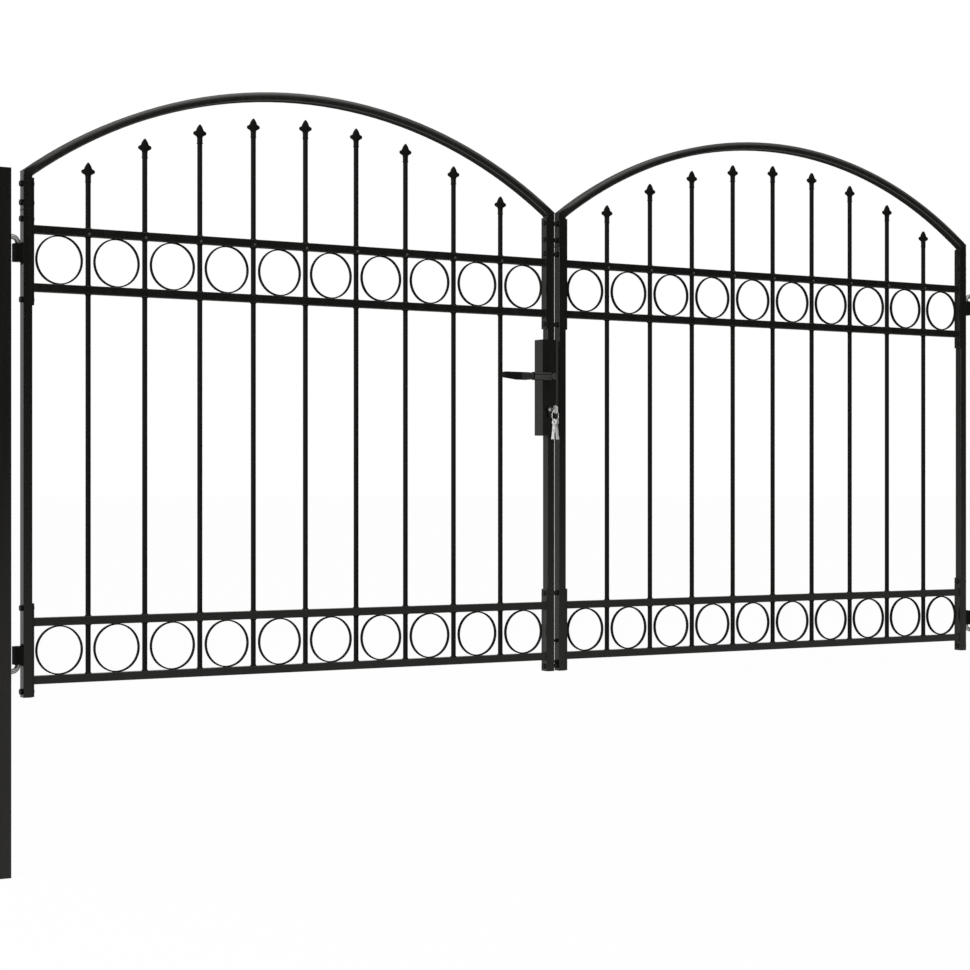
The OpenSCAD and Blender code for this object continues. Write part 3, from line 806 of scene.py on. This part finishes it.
# Lock
def lever_faces():
    """Crowned grip and neck, and on the arm two raised panels with a groove between them and a boss on the
    axis. The neck face's lighter coat is painted light."""
    front = low("front_lever")[1]
    axis_x = high("left_meeting_stile")[0] - LEVER_IN
    axis_z = (low("lever_spindle")[2] + high("lever_spindle")[2]) / 2
    middle = np.array([axis_x, front + LEVER_DEEP, axis_z])
    for name, corners, finish, ends in (
        ("lever_grip_face", GRIP, MATT_COAT, GRIP_SPINE),
        # the neck face takes the lighter coat, which paints light on it
        ("lever_neck_face", NECK, NECK_PAINTED_LIGHT_COAT, NECK_SPINE),
    ):
        outline = resampled(corners, OUTLINE_POINTS)
        run = np.clip(outline[:, 0], *ends)
        spine = np.column_stack([run, np.interp(run, MIDLINE_X, MIDLINE_Z)])
        points, faces = cushion(outline, spine, LEVER_HALF, LEVER_CROWN)
        piece(name, (points + middle, faces), "lever_black", "lever", finish=finish)
    groups = []
    for half, corner, level in (UPPER_PANEL, LOWER_PANEL):
        panel = pad(PANEL_HALF, half, corner, PANEL_EDGE)
        groups.append(set_on(panel, spots(axis_x - PANEL_BACK, front, axis_z + level), (0, -1, 0)))
    boss = dome(BOSS_ACROSS, BOSS_TALL, BOSS_ROWS)
    groups.append(set_on(boss, spots(axis_x, front, axis_z), (0, -1, 0)))
    piece("lever_arm_panels", join(groups), "lever_black", "lever")


def lock_trim():
    """Bright plugs in the lock cylinders, and screws at the head and foot of the lock case's back."""
    first, last = low("lock_cylinders"), high("lock_cylinders")
    barrel = (first[0] + last[0]) / 2
    level = last[2] - (last[0] - first[0]) / 2
    plug = turned(KEY_PLUG, KEY_PLUG_SIDES)
    plugs = [
        set_on(plug, spots(barrel, first[1], level), (0, -1, 0)),
        set_on(plug, spots(barrel, last[1], level), (0, 1, 0)),
    ]
    piece("cylinder_plugs", join(plugs), "key_metal", "left_leaf", smooth=False)
    case_low, case_high = low("lock_case"), high("lock_case")
    heights = np.array([case_low[2] + SCREW_UP, case_high[2] - SCREW_UP])
    places = spots(case_low[0] + SCREW_IN, case_high[1], heights)
    screws = set_on(turned(SCREW_HEAD, SCREW_SIDES), places, (0, 1, 0))
    piece("case_screws", screws, "lock_metal", "left_leaf")


for leaf in ("left", "right"):
    leaf_bolts(leaf)
    bar_rivets(leaf)
    stile_plugs(leaf)
    bar_welds(leaf)
    ring_welds(leaf)
    sleeve_welds(leaf)
    frame_welds(leaf)
    arch_crowns(leaf)
    spear_faces(leaf)
    hook_threads(leaf)
stop_pins()
lever_faces()
lock_trim()


# Finishes of the solids
slots = {part["node"]: part["material_slot"] for part in frame["record"]["subparts"]}
for node, solid in frame["nodes"].items():
    finish = FINISHES[slots[node]]
    if node.endswith(("_post", "_cap", "_legs", "_stile", "_rail", "_plates", "_case")):
        finish = TUBE_COAT
    elif node.endswith(("_bars", "_rings", "_heads", "_sleeves", "front_lever")):
        finish = MATT_COAT
    solid.data.materials.clear()
    solid.data.materials.append(finish)


# Studio: levels of light, reach of the floor and of its white part in front, ramps of the backdrop, and
# place from the gate's middle, size and power of the lamps
ROOM_LEVEL = 0.28
DARK_LEVEL = 0.05
WHITE_LEVEL = 1.0
PAPER_TONE = 0.82
PAPER_WHITE = 0.98
FLOOR_REACH = 400.0
WHITE_REACH = 20.0
WHITE_FADE = [(0.0, 0.0), (0.5, 1.0)]
BEHIND = [(0.66, 0.0), (0.93, 1.0)]
ABOVE = [(0.22, 0.0), (0.44, 1.0)]
LEFT_LAMP = ((-9.0, -1.6, 2.6), 5.0, 1000.0)
FRONT_LAMP = ((1.5, -5.0, 8.0), 6.0, 160.0)


def even_grey(level):
    """An even grey with full alpha."""
    return (level, level, level, 1.0)


def light_path(wire):
    """Two factors: 1 for camera rays, and 1 for mirror and glass rays."""
    path = wire.node("ShaderNodeLightPath").socket.node
    kinds = ("Is Camera Ray", "Is Glossy Ray", "Is Transmission Ray")
    camera_ray, glossy, through = [Wire(wire.tree, path.outputs[kind]) for kind in kinds]
    return camera_ray, glossy + through


def mixed(wire, factor, first, second):
    """Two shaders mixed by a factor."""
    return wire.node("ShaderNodeMixShader", None, {"Fac": factor, 1: first, 2: second})


def paper_floor():
    """Pale floor: seen as white paper that keeps a trace of the gate's soft shadow. Mirror and glass rays
    see it white too, but not far in front of the gate."""
    material, wire = new_material("paper_floor")
    paper = wire.node("ShaderNodeBsdfDiffuse", None, {"Color": even_grey(PAPER_TONE)})
    white = wire.node("ShaderNodeEmission", None, {"Color": even_grey(WHITE_LEVEL), "Strength": 1.0})
    camera_ray, mirror_ray = light_path(wire)
    place = wire.node("ShaderNodeSeparateXYZ", None, {"Vector": wire.node("ShaderNodeNewGeometry")}, out=1)
    near = ramped(wire, 1.0 + place * (1 / WHITE_REACH), WHITE_FADE)
    finish_material(wire, mixed(wire, PAPER_WHITE * (camera_ray + mirror_ray * near), paper, white))
    mesh = bpy.data.meshes.new("floor")
    corners = [(x * FLOOR_REACH, y * FLOOR_REACH, 0) for x, y in ((-1, -1), (1, -1), (1, 1), (-1, 1))]
    mesh.from_pydata(corners, [], [(0, 1, 2, 3)])
    mesh.materials.append(material)
    floor = bpy.data.objects.new("floor", mesh)
    bpy.context.scene.collection.objects.link(floor)


def studio_world():
    """A white backdrop behind and above the gate, a dark end of the room in front of it that only mirror
    and glass rays see, and a dim even light from all of it."""
    world = bpy.data.worlds.new("studio")
    bpy.context.scene.world = world
    world.use_nodes = True
    world.node_tree.nodes.clear()
    wire = Wire(world.node_tree)
    room, dark, white = [
        wire.node("ShaderNodeBackground", None, {"Color": even_grey(level), "Strength": 1.0})
        for level in (ROOM_LEVEL, DARK_LEVEL, WHITE_LEVEL)
    ]
    way = wire.node("ShaderNodeTexCoord")
    back, up = [wire.node("ShaderNodeSeparateXYZ", None, {"Vector": way}, out=axis) for axis in (1, 2)]
    behind = ramped(wire, back, BEHIND)
    above = ramped(wire, up, ABOVE)
    mirror_view = mixed(wire, above, mixed(wire, behind, dark, white), white)
    camera_ray, mirror_ray = light_path(wire)
    mirrored = mixed(wire, mirror_ray, room, mirror_view)
    wire.node("ShaderNodeOutputWorld", None, {"Surface": mixed(wire, camera_ray, mirrored, white)})


def softbox(name, place, target, size, power):
    """A square area lamp that faces a target."""
    lamp = bpy.data.lights.new(name, "AREA")
    lamp.size = size
    lamp.energy = power
    made = bpy.data.objects.new(name, lamp)
    bpy.context.scene.collection.objects.link(made)
    made.location = place
    toward = np.array(target) - np.array(place)
    flat = math.hypot(toward[0], toward[1])
    made.rotation_euler = (math.atan2(flat, -toward[2]), 0.0, math.atan2(-toward[0], toward[1]))


def camera():
    """A level camera turned from the gate's normal; the shift puts the horizon on its picture line."""
    lens = bpy.data.cameras.new("camera")
    lens.sensor_width = SENSOR
    lens.lens = FOCAL / IMAGE * SENSOR
    lens.shift_y = (HORIZON - IMAGE / 2) / IMAGE
    lens.clip_end = FARTHEST
    made = bpy.data.objects.new("camera", lens)
    bpy.context.scene.collection.objects.link(made)
    made.location = CAMERA_AT
    made.rotation_euler = (math.pi / 2, 0.0, -math.radians(CAMERA_TURN))
    bpy.context.scene.camera = made


paper_floor()
studio_world()
middle = (np.array(solid_box[0]) + np.array(solid_box[1])) / 2
for lamp_name, (place, size, power) in (("left_softbox", LEFT_LAMP), ("front_softbox", FRONT_LAMP)):
    softbox(lamp_name, middle + place, middle, size, power)
camera()
bpy.context.scene.view_settings.view_transform = "Standard"
